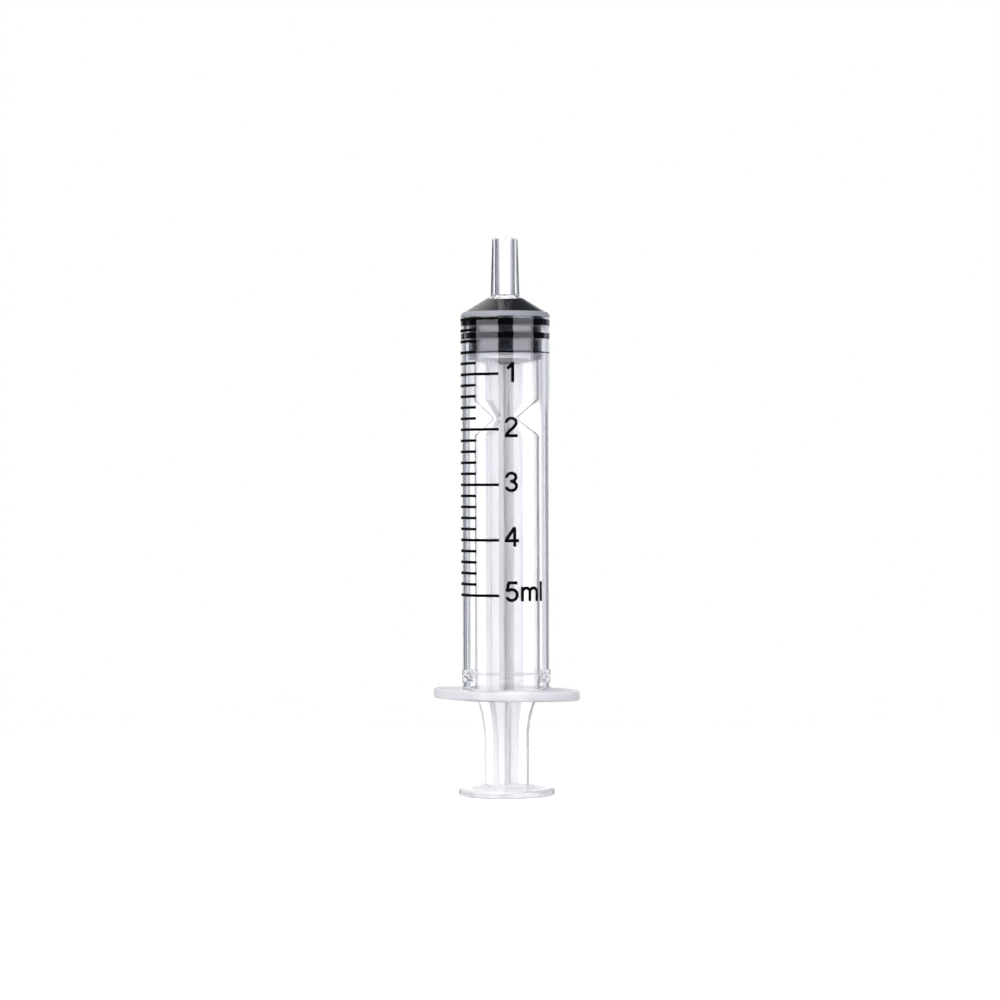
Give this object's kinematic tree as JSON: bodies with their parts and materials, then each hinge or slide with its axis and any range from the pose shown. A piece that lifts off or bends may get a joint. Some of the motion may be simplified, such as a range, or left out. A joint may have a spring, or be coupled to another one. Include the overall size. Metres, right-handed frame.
{
  "type": "syringe",
  "caption": "Disposable syringe with a clear tapered-nozzle barrel, printed scale, black rubber stopper and a ribbed plunger that slides and turns.",
  "frame": {"origin": "centre of the thumb rest's underside, on the syringe's axis, with the plunger pushed fully in", "axes": "+Z along the syringe's axis from the thumb rest to the nozzle tip; +X along the long direction of the finger flange; the printed scale faces -Y"},
  "size_m": [0.0248, 0.0152, 0.0869],
  "materials": {
    "clear_polypropylene": "clear moulded polypropylene, polished mould",
    "translucent_polypropylene": "translucent moulded polypropylene",
    "black_rubber": "smooth black rubber, lightly siliconed",
    "black_ink": "screen-printed black ink"
  },
  "bodies": {
    "barrel": {"barrel": "clear_polypropylene", "graduation_marks": "black_ink"},
    "stopper": {"rubber_stopper": "black_rubber"},
    "plunger": {"plunger_rod": "translucent_polypropylene"}
  },
  "joints": [
    {"name": "plunger_slide", "type": "slide", "parent": "barrel", "child": "stopper", "axis": [0, 0, -1], "range_m": [0, 0.0483]},
    {"name": "rod_turn", "type": "hinge", "parent": "stopper", "child": "plunger", "pos_m": [0, 0, 0.07], "axis": [0, 0, 1], "continuous": true}
  ]
}
